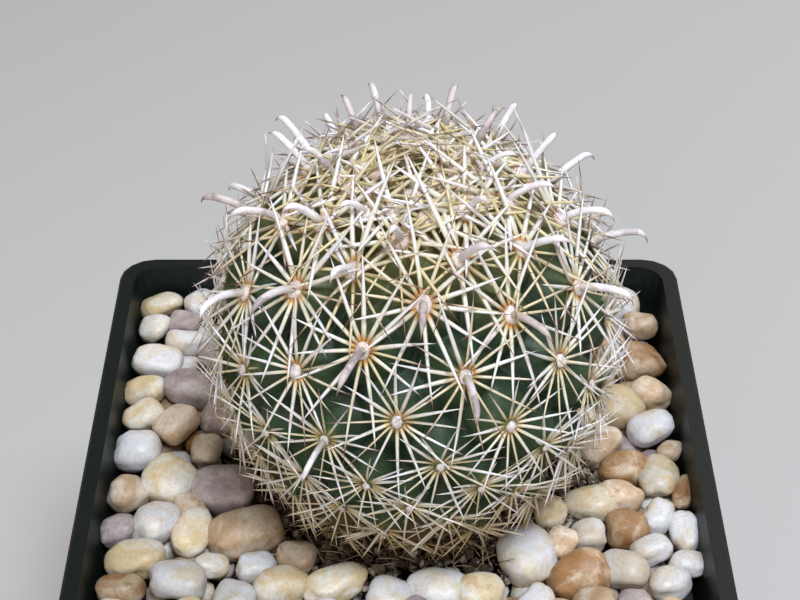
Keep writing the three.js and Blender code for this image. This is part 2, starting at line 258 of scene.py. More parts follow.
def randomDirection(seed):
    inputs = {0: (-1, -1, -1), 1: (1, 1, 1), "Seed": seed}
    return addNode(seed.tree, "FunctionNodeRandomValue", inputs, data_type="FLOAT_VECTOR").maths("NORMALIZE")


def position(tree):
    return addNode(tree, "GeometryNodeInputPosition")


# Moves the points to a Position or by an Offset
def setPosition(geometry, **where):
    return addNode(geometry.tree, "GeometryNodeSetPosition", {"Geometry": geometry, **where})


def ball(tree, detail):
    return addNode(tree, "GeometryNodeMeshIcoSphere", {"Subdivisions": detail})


def cone(tree, sides, rings):
    inputs = {"Vertices": sides, "Side Segments": rings, "Depth": 1.0}
    return addNode(tree, "GeometryNodeMeshCone", inputs, fill_type="TRIANGLE_FAN")


# The turn that brings Z to one direction, and that which also brings X to another
def turnUpTo(aim):
    return addNode(aim.tree, "FunctionNodeAlignRotationToVector", {"Vector": aim}, axis="Z")


def turnAxesTo(aim, ahead):
    inputs = {"Primary Axis": aim, "Secondary Axis": ahead}
    return addNode(aim.tree, "FunctionNodeAxesToRotation", inputs, primary_axis="Z", secondary_axis="X")


def eulerTurn(angles):
    return addNode(angles.tree, "FunctionNodeEulerToRotation", {0: angles})


def placeCopies(points, shape, turn, size, more=None):
    inputs = {"Points": points, "Instance": shape, "Rotation": turn, "Scale": size, **(more or {})}
    return addNode(points.tree, "GeometryNodeInstanceOnPoints", inputs)


def realize(copies):
    return addNode(copies.tree, "GeometryNodeRealizeInstances", {"Geometry": copies})


# Layers that stay on a grown piece; the others only served its tree
keptLayers = ("position", "along", "tone", "age")


# Grows a piece from points and their layers: runs the tree once and keeps the result as a plain mesh
def growPiece(name, places, layers, tree, material, **settings):
    settings["Material"] = material
    points = bpy.data.meshes.new(name)
    points.vertices.add(len(places))
    points.vertices.foreach_set("co", np.asarray(places, np.float32).ravel())
    for label, values in layers.items():
        values = np.asarray(values, np.float32)
        kind, field = ("FLOAT_VECTOR", "vector") if values.ndim == 2 else ("FLOAT", "value")
        points.attributes.new(label, kind, "POINT").data.foreach_set(field, values.ravel())
    piece = addObject(name, points)
    modifier = piece.modifiers.new(name, "NODES")
    modifier.node_group = tree
    for item in tree.interface.items_tree:
        if item.in_out == "INPUT" and item.name in settings:
            modifier[item.identifier] = settings[item.name]
    bpy.context.view_layer.update()
    graph = bpy.context.evaluated_depsgraph_get()
    grown = piece.evaluated_get(graph)
    mesh = bpy.data.meshes.new_from_object(grown, preserve_all_data_layers=True, depsgraph=graph)
    piece.modifiers.clear()
    piece.data = mesh
    bpy.data.meshes.remove(points)
    mesh.name = name
    mesh.materials.clear()
    mesh.materials.append(material)
    mesh.polygons.foreach_set("material_index", [0] * len(mesh.polygons))
    for label in [layer.name for layer in mesh.attributes if layer.domain == "POINT"]:
        if label not in keptLayers:
            mesh.attributes.remove(mesh.attributes[label])
    print(name, len(mesh.polygons), "faces")
    return piece


def dress(piece, slot, *nodes):
    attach(piece, "root")
    if nodes:
        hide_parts(*nodes)


def between(low, high, share):
    return low + (high - low) * share


# The same small generator as the solids use, so that the stones lie where the solids have them
def makeRandom(seed):
    state = seed
    while True:
        state = (state * 16807) % 2147483647
        yield state / 2147483647


# Materials


def objectPlace(tree):
    return addNode(tree, "ShaderNodeTexCoord", output="Object")


# Starts a material and gives its object coordinates with it
def newMaterial(name):
    material = bpy.data.materials.new(name)
    material.use_nodes = True
    return material, objectPlace(material.node_tree)


# A layer of the mesh at a place
def attribute(place, name):
    return addNode(place.tree, "ShaderNodeAttribute", output="Fac", attribute_name=name)


def ramp(factor, *stops):
    colour = addNode(factor.tree, "ShaderNodeValToRGB", {0: factor})
    elements = colour.socket.node.color_ramp.elements
    while len(elements) < len(stops):
        elements.new(0.5)
    for element, (place, shade) in zip(elements, stops):
        element.position = place
        element.color = (*shade, 1)
    return colour


def mixColours(mask, a, b, blend="MIX"):
    return addNode(mask.tree, "ShaderNodeMix", {0: mask, 6: a, 7: b}, 2, data_type="RGBA", blend_type=blend)


# Lays colours over a first one, each through its mask
def layer(colour, *layers):
    for mask, shade in layers:
        colour = mixColours(mask, colour, shade)
    return colour


# Ends a material with its colour, its relief and the shader's own values
def endMaterial(material, colour, relief, strength, depth, **values):
    tree = material.node_tree
    bump = addNode(tree, "ShaderNodeBump", {"Height": relief, "Strength": strength, "Distance": depth})
    values = {label.replace("_", " "): value for label, value in values.items()}
    setInputs(tree.nodes["Principled BSDF"], {"Base Color": colour, "Normal": bump, **values})
    return material


# Areoles: one spiral with the golden angle, as in the solids

spiral = dict(
    first=-58,
    last=74,
    crown=-62,  # where the spiral would reach the crown
    firstAzimuth=265.1,
    step=-137.555,
    firstKnot=-36,
    knotSpacing=14,
    polarAngles=(21, 40, 62, 81, 95, 103, 111.5, 125, 143),
)

globe = dict(
    centre=Vector((2.1 * mm, 0.5 * mm, rimHeight + 20.8 * mm)),
    coreRadius=22.2 * mm,
    tipRadius=27.3 * mm,
    heightRatio=1.034,  # of the upper half
    lowerHeightRatio=1.2,  # of the lower half
    leanTowardsFront=3.7,  # degrees
    leanToTheLeft=0.7,
    footRadius=17 * mm,
    footBottom=soilTop - 1 * mm,
    footFrom=-0.5,  # height on the globe of radius 1, below which the foot may stand out
    tubercleReach=0.66,  # of the spacing
    tubercleFlank=1.6,  # 1 gives a cone, more a rounder tubercle
    fullSpacing=8 * mm,  # areoles closer than this have lower tubercles
    fineness=7,
)

fullTubercle = globe["tipRadius"] - globe["coreRadius"]
capHeights = [0.0] + [1 - cos(radians(angle)) for angle in spiral["polarAngles"]]
sideLean = Matrix.Rotation(radians(-globe["leanToTheLeft"]), 3, "Y")
lean = sideLean @ Matrix.Rotation(radians(globe["leanTowardsFront"]), 3, "X")


def polarAngle(number):
    if number < spiral["firstKnot"]:
        share = (number - spiral["crown"]) / (spiral["firstKnot"] - spiral["crown"])
        return acos(1 - capHeights[1] * share)
    place = (number - spiral["firstKnot"]) / spiral["knotSpacing"]
    knot = min(int(place), len(capHeights) - 3)
    return acos(1 - between(capHeights[knot + 1], capHeights[knot + 2], place - knot))


def globeDirection(polar, azimuth):
    return sin(polar) * cos(azimuth), sin(polar) * sin(azimuth), cos(polar)


def stretch(height):
    return np.where(np.asarray(height) > 0, globe["heightRatio"], globe["lowerHeightRatio"])


def placeOnGlobe(directions, radius):
    points = np.asarray(directions) * np.reshape(radius, (-1, 1))
    points[:, 2] *= stretch(points[:, 2])
    return points @ np.array(lean).T + np.array(globe["centre"])


def makeAreoles():
    made = []
    for number in range(spiral["first"], spiral["last"] + 1):
        azimuth = radians(spiral["firstAzimuth"] + spiral["step"] * number)
        direction = Vector(globeDirection(polarAngle(number), azimuth))
        share = cos(polarAngle(number - 0.5)) - cos(polarAngle(number + 0.5))
        steepness = direction.z / float(stretch(direction.z))
        normal = Vector((direction.x, direction.y, steepness)).normalized()
        side = Vector((0, 0, 1)).cross(direction).normalized()
        spacing = sqrt(4 * pi * share / sqrt(3)) * globe["tipRadius"]
        made.append((number, direction, spacing, lean @ normal, lean @ side, lean @ normal.cross(side)))
    keys = ("number", "direction", "spacing", "outward", "side", "upward")
    made = {key: np.array(values) for key, values in zip(keys, zip(*made))}
    made["tip"] = placeOnGlobe(made["direction"], globe["tipRadius"])
    made["age"] = (made["number"] - spiral["first"]) / (spiral["last"] - spiral["first"])
    return made


areoles = makeAreoles()


# Values of a piece's list at every areole
def alongSpiral(settings, key):
    return np.interp(areoles["number"], settings["areoles"], settings[key])


# Middle of the stem's foot, where the globe's axis meets the rim's height
footPlace = (lean @ Vector((0, 0, rimHeight - globe["centre"].z)) + globe["centre"]).xy

# Stem


def tubercleHeights(directions):
    height = np.zeros(len(directions))
    for direction, spacing in zip(areoles["direction"], areoles["spacing"]):
        reach = np.linalg.norm(directions - direction, axis=1) * globe["tipRadius"]
        reach = np.minimum(reach / (globe["tubercleReach"] * spacing), 1)
        drop = min(1, spacing / globe["fullSpacing"]) * fullTubercle * reach ** globe["tubercleFlank"]
        height = np.maximum(height, np.where(reach < 1, fullTubercle - drop, 0))
    return height


def makeStem():
    shape = bmesh.new()
    bmesh.ops.create_icosphere(shape, subdivisions=globe["fineness"], radius=1)
    mesh = bpy.data.meshes.new("stem")
    shape.to_mesh(mesh)
    shape.free()
    directions = np.empty(len(mesh.vertices) * 3, np.float32)
    mesh.vertices.foreach_get("co", directions)
    directions = directions.reshape(-1, 3)
    directions /= np.linalg.norm(directions, axis=1)[:, None]
    height = tubercleHeights(directions)
    radius = globe["coreRadius"] + height
    across = np.maximum(np.hypot(directions[:, 0], directions[:, 1]), 1e-6)
    below = np.maximum(-directions[:, 2], 1e-6)
    depth = (globe["centre"].z - globe["footBottom"]) / globe["lowerHeightRatio"]
    foot = np.minimum(globe["footRadius"] / across, depth / below)
    radius = np.where((directions[:, 2] < globe["footFrom"]) & (foot > radius), foot, radius)
    places = placeOnGlobe(directions, radius)
    mesh.vertices.foreach_set("co", places.astype(np.float32).ravel())
    rise = (height / fullTubercle).astype(np.float32)
    mesh.attributes.new("rise", "FLOAT", "POINT").data.foreach_set("value", rise)
    mesh.polygons.foreach_set("use_smooth", [True] * len(mesh.polygons))
    mesh.materials.append(stemSkin())
    print("stem", len(mesh.polygons), "faces")
    dress(addObject("stem", mesh), "cactus", "cactus")


# Heights between which the skin turns paler olive towards the crown, which is painted light on its lit top,
# and takes its corky colour towards the foot
skinHeights = dict(
    young=(rimHeight + 36 * mm, rimHeight + 47 * mm),
    corky=(rimHeight + 7 * mm, rimHeight - 2 * mm),
)


def stemSkin():
    material, place = newMaterial("stemSkin")
    height = place.parts()[2]
    patches = noise(place, 160, 4, 0.6).mapped(0.3, 0.7, -0.16, 0.16)
    specks = addNode(place.tree, "ShaderNodeTexVoronoi", {"Vector": place, "Scale": 2600})
    # Darker in the valleys between tubercles and lighter yellow-green on their tips, following the tubercles'
    # rise: painted shade in the valleys and painted light on the tips
    colour = ramp(
        attribute(place, "rise") + patches,
        (0.0, (0.007, 0.015, 0.009)),
        (0.4, (0.018, 0.042, 0.022)),
        (0.85, (0.034, 0.068, 0.028)),
        (1.0, (0.13, 0.15, 0.045)),
    )
    colour = layer(
        colour,
        (specks.mapped(0.22, 0.08, 0, 0.5), (0.19, 0.25, 0.18)),
        # Paler olive towards the crown: painted light on the lit top
        (height.mapped(*skinHeights["young"], 0, 0.9), (0.27, 0.27, 0.10)),
        (height.mapped(*skinHeights["corky"]), (0.10, 0.065, 0.035)),
    )
    relief = noise(place, 900, 4, 0.6)
    return endMaterial(material, colour, relief, 0.35, 0.25 * mm, Roughness=0.5, Specular_IOR_Level=0.3)


# Radial spines

# The lists give values at these areoles, and between them the values run evenly.
radial = dict(
    areoles=(-58, -48, -40, -34, -14, 0, 20, 45, 74),
    count=(9, 9, 11, 13, 15, 16, 16, 15, 13),
    length=(5.5, 8.5, 12, 14.5, 14, 11, 9, 7, 6),  # mm
    radius=(0.27, 0.28, 0.33, 0.37, 0.3, 0.225, 0.2, 0.2, 0.2),  # mm
    pitch=(16, 11, 7, 7, 11, 16, 15, 18, 24),  # degrees above the tubercle's tangent plane
    crownward=(-6, -4, 1, 5, 6, 4, 3, 0, 0),  # more raise for the spines that point to the crown
    raiseSpread=(8, 7, 6, 5, 5, 5, 5, 10, 14),  # degrees to either side
    sideLoss=(0, 0, 0.2, 0.34, 0.3, 0.15, 0, 0, 0),  # of the length, for those that point sideways
    paler=(-0.25, -0.15, 0.1, 0.25, 0.2, 0.1, 0.1, 0, 0),  # and stouter, for those to the crown
    turnJitter=0.35,
    lengthSpread=0.14,
    bow=0.06,
    wander=0.07,  # to either side, of the length
    thinnest=0.62,  # of the radius, for the darkest spine
    stouter=0.6,  # added for the palest
    fullness=1.2,  # keeps the sides of a spine parallel as far as its last part
    sides=5,
    rings=5,
    rootDepth=0.5 * mm,
    rootRing=0.7 * mm,
    lowestTip=rimHeight - 3 * mm,
    highestTip=139.6 * mm,
    seed=11,
)

# The buried areoles and the corky foot keep a few short dead spines, and more lie loose on the soil.
dead = dict(
    below=rimHeight - 1.4 * mm,  # height of the areole
    footAreoles=95,
    footRadius=17.4 * mm,
    footHeights=(soilTop + 4.5 * mm, soilTop + 9 * mm),
    loose=240,
    looseRadii=(18 * mm, 25.5 * mm),
    looseHeight=0.8 * mm,  # above the soil
    looseTilt=0.2,
    length=(4.2 * mm, 6.2 * mm),  # of the loose ones, and of the others
    radius=(0.11 * mm, 0.19 * mm),
    age=(1.3, 1.0),
    count=11,
    pitch=24,
    raiseSpread=22,
    seed=71,
)

# What their tree takes instead of the radial spines' values
deadSettings = dict(
    turnJitter=0.9,
    lengthSpread=0.35,
    bow=0.2,
    lowestTip=soilTop + 3 * mm,
    seed=dead["seed"],
)

spineSettings = ("rootRing", "rootDepth", "highestTip", *deadSettings)


def radialSpineTree():
    tree, given = newGeometryTree("radialSpines", radial, *spineSettings)
    seed = given["seed"]
    outward, side, upward, bent = readVectors(tree, "outward", "side", "upward", "sway")
    count = readNumber(tree, "count")
    inputs = {"Geometry": given["Geometry"], "Amount": count}
    copies = addNode(tree, "GeometryNodeDuplicateElements", inputs, domain="POINT")

    # Direction and length of each spine
    place = copies.also("Duplicate Index") + randomValue(-0.5, 0.5, seed) * given["turnJitter"]
    turn = place / count * (2 * pi) + readNumber(tree, "phase")
    sine = turn.maths("SINE")
    cosine = turn.maths("COSINE")
    around = side * cosine + upward * sine
    raised = readNumber(tree, "pitch") + readNumber(tree, "raiseSpread") * randomValue(-1, 1, seed + 1)
    raised = raised + sine * readNumber(tree, "crownward")
    aim = around * raised.maths("COSINE") + outward * raised.maths("SINE")
    share = 1 + randomValue(-1, 0.6, seed + 2) * given["lengthSpread"]
    share = share * (1 - cosine * cosine * readNumber(tree, "sideLoss"))
    length = readNumber(tree, "length") * share

    # No tip lies too low or too high.
    start = position(tree) + around * given["rootRing"] - outward * given["rootDepth"]
    startHeight = start.parts()[2]
    aimX, aimY, climb = aim.parts()
    climb = climb.maths("MAXIMUM", (given["lowestTip"] - startHeight) / length)
    climb = climb.maths("MINIMUM", (given["highestTip"] - startHeight) / length)
    aim = combine(aimX, aimY, climb).maths("NORMALIZE")

    # One spine of length 1, copied, and then bent as a whole
    x, y, z = position(tree).parts()
    fuller = 1 + z * radial["fullness"]
    spine = store(cone(tree, radial["sides"], radial["rings"]), along=z)
    spine = setPosition(spine, Position=combine(x * fuller, y * fuller, z))
    spin = {"Axis": (0, 0, 1), "Angle": randomValue(0, 6.28, seed + 3)}
    turned = {"Rotation": turnUpTo(aim), "Rotate By": addNode(tree, "FunctionNodeAxisAngleToRotation", spin)}
    turned = addNode(tree, "FunctionNodeRotateRotation", turned, rotation_space="LOCAL")
    tone = randomValue(0, 1, seed + 4) + sine * readNumber(tree, "paler")
    thick = readNumber(tree, "radius") * (tone * radial["stouter"] + radial["thinnest"])
    placed = placeCopies(setPosition(copies, Position=start), spine, turned, combine(thick, thick, length))
    lift = given["bow"] * randomValue(-1.6, 0.5, seed + 6)
    wander = randomValue(-radial["wander"], radial["wander"], seed + 5)
    sway = outward * lift + aim.maths("CROSS_PRODUCT", outward) * wander
    whole = realize(store(placed, "INSTANCE", sway=sway * length, tone=tone))
    along = readNumber(tree, "along")
    endTree(setPosition(whole, Offset=bent * (along * along)), given)
    return tree


def makeRadialSpines(tree, material):
    draw = makeRandom(radial["seed"])
    phase = np.array([next(draw) * 2 * pi for _ in areoles["number"]])
    own = areoles["tip"][:, 2] >= dead["below"]
    units = {"count": 1, "length": mm, "radius": mm, "sideLoss": 1, "paler": 1}
    units.update(dict.fromkeys(("pitch", "crownward", "raiseSpread"), radians(1)))
    layers = {key: alongSpiral(radial, key)[own] * unit for key, unit in units.items()}
    layers["count"] = np.round(layers["count"])
    layers["phase"] = phase[own]
    layers.update({key: areoles[key][own] for key in ("age", "outward", "side", "upward")})
    piece = growPiece("radialSpines", areoles["tip"][own], layers, tree, material)
    dress(piece, "cactus", "cactus")


def makeDeadSpines(tree, material):
    draw = makeRandom(dead["seed"])
    old = areoles["tip"][:, 2] < dead["below"]
    tips = [Vector(tip) for tip in areoles["tip"][old]]
    outward = [Vector(out) for out in areoles["outward"][old]]
    low, high = dead["footHeights"]
    for number in range(dead["footAreoles"]):
        around = Matrix.Rotation(radians(spiral["step"] * number), 3, "Z") @ Vector((1, 0, 0))
        height = high + (low - high) * number / dead["footAreoles"]
        tips.append(Vector((*footPlace, height)) + around * dead["footRadius"])
        outward.append(around)
    count = [dead["count"]] * len(tips) + [1] * dead["loose"]
    tilt = dead["looseTilt"]
    for _ in range(dead["loose"]):
        around = Matrix.Rotation(2 * pi * next(draw), 3, "Z") @ Vector((1, 0, 0))
        radius = between(*dead["looseRadii"], next(draw))
        height = moundHeight(radius) + dead["looseHeight"]
        tips.append(Vector((*footPlace, height)) + around * radius)
        outward.append(Vector((tilt * next(draw), tilt * next(draw), 1)).normalized())
    loose = np.array(count) == 1
    side = [Vector((0, 0, 1)).cross(out + Vector((1e-4, 0, 0))).normalized() for out in outward]
    whole = np.ones(len(tips))
    layers = {key: np.where(loose, *dead[key]) for key in ("length", "radius", "age")}
    layers.update({key: radians(dead[key]) * whole for key in ("pitch", "raiseSpread")})
    layers.update({key: 0 * whole for key in ("crownward", "sideLoss", "paler")})
    layers.update(count=count, outward=outward, side=side)
    layers["phase"] = [next(draw) * 2 * pi for _ in tips]
    layers["upward"] = [out.cross(across) for out, across in zip(outward, side)]
    piece = growPiece("deadSpines", tips, layers, tree, material, **deadSettings)
    dress(piece, "cactus", "cactus")


def spineHorn():
    material, place = newMaterial("spineHorn")
    along, tone, age = (attribute(place, name) for name in ("along", "tone", "age"))
    amber = along.mapped(0.12, 0.06) * age.mapped(0.55, 0.35, 0.35, 1.0)
    streaks = noise(place, 700, 2, 0.5).mapped(0.45, 0.65, 0, 0.5) * tone.mapped(0.4, 0.85, 1, 0.45)
    # Spines of lower tone, more of them among the young ones near the crown, are painted olive: painted shade
    # for spines that stand in shade
    shaded = tone - age.mapped(0.3, 0.06, 0, 0.48)
    oliveShade = shaded.mapped(0.5, 0.2) * age.mapped(0.15, 0.35, 0.85, 0.55)
    old = age.mapped(0.62, 0.92) * tone.mapped(0.2, 1, 0.95, 0.5)
    pinkish = tone.mapped(0.3, 0.12) * along.mapped(0.3, 0.8) * 0.6
    tip = (along - tone.mapped(0, 1, 0.6, 0.92)) / 0.14
    tip = addNode(place.tree, "ShaderNodeClamp", {0: tip}) * age.mapped(0.75, 0.35)
    colour = ramp(
        along,
        (0.0, (0.68, 0.57, 0.34)),
        (0.2, (0.74, 0.71, 0.61)),
        (0.55, (0.76, 0.75, 0.81)),
        (1.0, (0.74, 0.71, 0.75)),
    )
    colour = layer(
        colour,
        (amber, (0.68, 0.32, 0.06)),
        (streaks, (0.62, 0.54, 0.28)),
        # painted shade: olive on the spines of lower tone
        (oliveShade, (0.60, 0.49, 0.22)),
        (old, (0.46, 0.35, 0.14)),
        (age.mapped(1.0, 1.3, 0, 0.7), (0.16, 0.10, 0.06)),  # dead
        (pinkish, (0.42, 0.27, 0.22)),
        (tip, (0.13, 0.05, 0.03)),
    )
    look = dict(Roughness=0.3, Specular_IOR_Level=0.75, Subsurface_Weight=0.1, Subsurface_Scale=0.4 * mm)
    return endMaterial(material, colour, noise(place, 2500, 2, 0.5), 0.2, 0.05 * mm, **look)


# Hooked central spines

hooks = dict(
    first=-40,
    last=-6,
    lone=8,  # one lower areole has kept its hook
    loneShare=0.78,  # of the length of the others
    length=9.2 * mm,
    youngest=-30,  # from here up to the crown they get shorter
    shorterPerAreole=0.02,
    shortest=0.94,  # of the length, and what a random draw adds
    lengthSpread=0.1,
    radius=0.062,  # of the length, at the foot
    taper=0.22,
    point=(0.72, 1.0, 0.0, 0.9),  # where the point begins and ends, and how much it thins
    gentleShare=0.7,  # of the length, before the sharp end
    spread=20,  # degrees
    rootDepth=0.5 * mm,
    sides=8,
    rings=22,
    seed=23,
)

# Turn of single hooks about their areole, in degrees from straight down, positive to the right
hookTurns = {
    -6: -15, -8: -10, -10: 40, -11: 0, -13: -10, -14: -5, -15: -10, -16: 10, -17: 20, -18: 10, -19: -30,
    -20: 0, -21: -10, -22: 15, -23: 20, -24: 20, -25: 5, -26: 10, -27: 40, -28: -20, -29: 55, -38: -10,
    8: -10,
}

# Degrees through which each kind of hook sweeps gently, then bends at its end
hookBends = ((28, 85), (38, 78), (20, 98), (46, 64))


# A hook of length 1 that leaves along Z and bends towards X: a gentle arc and then a tight one
def hookCurve(factor, gentle, tight):
    gentle = radians(gentle)
    first = hooks["gentleShare"]
    firstRadius = first / gentle
    lastRadius = (1 - first) / radians(tight)
    turn = factor.maths("MINIMUM", first) * (1 / firstRadius)
    more = (factor - first).maths("MAXIMUM", 0) * (1 / lastRadius)
    forward = more.maths("SINE") * lastRadius
    sideways = (1 - more.maths("COSINE")) * lastRadius
    x = (1 - turn.maths("COSINE")) * firstRadius + forward * sin(gentle) + sideways * cos(gentle)
    z = turn.maths("SINE") * firstRadius + forward * cos(gentle) - sideways * sin(gentle)
    return combine(x, 0.0, z)


def hookTree():
    tree, given = newGeometryTree("centralSpines", hooks, "radius", "length", "seed")
    ring = addNode(tree, "GeometryNodeCurvePrimitiveCircle", {"Resolution": hooks["sides"]})
    line = addNode(tree, "GeometryNodeCurvePrimitiveLine")
    line = addNode(tree, "GeometryNodeResampleCurve", {"Curve": line, "Count": hooks["rings"]})
    line = store(line, along=addNode(tree, "GeometryNodeSplineParameter"))
    along = readNumber(tree, "along")
    end = along.mapped(*hooks["point"], "SMOOTHSTEP")
    radius = (1 - along * hooks["taper"]) * (1 - end) * given["radius"]
    choices = tree.nodes.new("GeometryNodeGeometryToInstance")
    for gentle, tight in hookBends:
        curve = setPosition(line, Position=hookCurve(along, gentle, tight))
        inputs = {"Curve": curve, "Profile Curve": ring, "Scale": radius, "Fill Caps": True}
        tube = addNode(tree, "GeometryNodeCurveToMesh", inputs)
        setInputs(choices, {0: addNode(tree, "GeometryNodeGeometryToInstance", {"Geometry": tube})})
    turned = turnAxesTo(*readVectors(tree, "outward", "over"))
    size = given["length"] * readNumber(tree, "share")
    inputs = {4: 0, 5: len(hookBends) - 1, "Seed": given["seed"]}
    drawn = addNode(tree, "FunctionNodeRandomValue", inputs, 2, data_type="INT")
    pick = {"Pick Instance": True, "Instance Index": drawn}
    placed = placeCopies(given["Geometry"], Wire(choices.outputs[0]), turned, combine(size, size, size), pick)
    endTree(realize(store(placed, "INSTANCE", tone=randomValue(0, 1, given["seed"] + 1))), given)
    return tree


def makeHooks():
    draw = makeRandom(hooks["seed"])
    numbers = [*range(hooks["first"], hooks["last"] + 1), hooks["lone"]]
    chosen = [number - spiral["first"] for number in numbers]
    over, share = [], []
    for i, number in zip(chosen, numbers):
        drawn = (2 * next(draw) - 1) * hooks["spread"]
        turn = radians(hookTurns.get(number, drawn))
        over.append(areoles["side"][i] * sin(turn) - areoles["upward"][i] * cos(turn))
        young = max(0, hooks["youngest"] - number)
        whole = hooks["loneShare"] if number == hooks["lone"] else 1
        drawn = hooks["shortest"] + hooks["lengthSpread"] * next(draw)
        share.append(whole * drawn * (1 - hooks["shorterPerAreole"] * young))
    outward = areoles["outward"][chosen]
    roots = areoles["tip"][chosen] - outward * hooks["rootDepth"]
    layers = {"outward": outward, "over": over, "share": share, "age": areoles["age"][chosen]}
    dress(growPiece("centralSpines", roots, layers, hookTree(), hookHorn()), "cactus", "cactus")


def hookHorn():
    material, place = newMaterial("hookHorn")
    along = attribute(place, "along")
    tone = attribute(place, "tone")
    clouds = noise(place, 420, 3, 0.6).mapped(0.35, 0.65)
    worn = noise(place, 300, 3, 0.6).mapped(0.5, 0.6) * tone.mapped(0.6, 0.75, 0, 0.7)
    colour = layer(
        mixColours(clouds, (0.66, 0.62, 0.66), (0.86, 0.85, 0.92)),
        (tone.mapped(0.62, 1.0, 0, 0.75), (0.40, 0.31, 0.29)),
        (along.mapped(0.4, 0.1) * tone.mapped(0.3, 0.6, 0, 0.6), (0.40, 0.34, 0.17)),
        (worn, (0.20, 0.16, 0.17)),
        (along.mapped(0.82, 0.97), (0.17, 0.08, 0.06)),
    )
    look = dict(Roughness=0.55, Subsurface_Weight=0.08, Subsurface_Scale=0.4 * mm)
    return endMaterial(material, colour, noise(place, 1500, 3, 0.6), 0.3, 0.08 * mm, **look)


# Wool pads on the areoles

wool = dict(
    areoles=(-58, -46, -20, 0, 20, 74),
    across=(1.15, 1.2, 1.02, 0.66, 0.46, 0.38),  # half sizes in mm
    tall=(1.2, 1.4, 1.26, 0.84, 0.56, 0.44),
    high=(0.7, 0.68, 0.64, 0.52, 0.38, 0.32),
    sink=0.15 * mm,
    detail=3,
    fuzz=0.2 * mm,
    hairDensity=16.0e6,
    hairLength=0.6 * mm,
    hairRadius=0.03 * mm,
    hairStray=0.9,
    seed=5,
)


def woolTree():
    inputs = ("fuzz", "hairDensity", "hairLength", "hairRadius", "seed")
    tree, given = newGeometryTree("areoleWool", wool, *inputs)
    seed = given["seed"]
    outward, side, size = readVectors(tree, "outward", "side", "size")
    pads = placeCopies(given["Geometry"], ball(tree, wool["detail"]), turnAxesTo(outward, side), size)
    lumps = (noise(position(tree), 1400, 3, 0.6) - 0.45) * (given["fuzz"] * 2.5)
    pads = setPosition(realize(pads), Offset=addNode(tree, "GeometryNodeInputNormal") * lumps)
    inputs = {"Mesh": pads, "Density": given["hairDensity"], "Seed": seed}
    roots = addNode(tree, "GeometryNodeDistributePointsOnFaces", inputs)
    aim = roots.also("Normal") + randomDirection(seed + 1) * wool["hairStray"]
    length = given["hairLength"] * randomValue(0.5, 1.3, seed + 2)
    size = combine(given["hairRadius"], given["hairRadius"], length)
    hairs = realize(placeCopies(roots, cone(tree, 3, 1), turnUpTo(aim), size))
    both = tree.nodes.new("GeometryNodeJoinGeometry")
    setInputs(both, {0: pads})
    setInputs(both, {0: hairs})
    endTree(Wire(both.outputs[0]), given)
    return tree


def makeWool():
    middles = areoles["tip"] - areoles["outward"] * wool["sink"]
    layers = {key: areoles[key] for key in ("outward", "side", "age")}
    layers["size"] = np.transpose([alongSpiral(wool, key) * mm for key in ("across", "tall", "high")])
    dress(growPiece("areoleWool", middles, layers, woolTree(), woolFelt()), "cactus", "cactus")


def woolFelt():
    material, place = newMaterial("woolFelt")
    age = attribute(place, "age")
    clouds = noise(place, 1800, 3, 0.6).mapped(0.3, 0.7)
    young = mixColours(clouds, (0.76, 0.57, 0.49), (0.88, 0.80, 0.77))
    grown = mixColours(clouds, (0.68, 0.60, 0.60), (0.86, 0.82, 0.84))
    colour = layer(young, (age.mapped(0.25, 0.45), grown), (age.mapped(0.6, 1.0, 0, 0.7), (0.48, 0.40, 0.33)))
    look = dict(Roughness=0.9, Sheen_Weight=0.3, Subsurface_Weight=0.15, Subsurface_Scale=0.3 * mm)
    return endMaterial(material, colour, noise(place, 5000, 3, 0.7), 0.5, 0.1 * mm, **look)


# Stones. Middle x and y, length, width and turn in mm and degrees, by the kind of stone

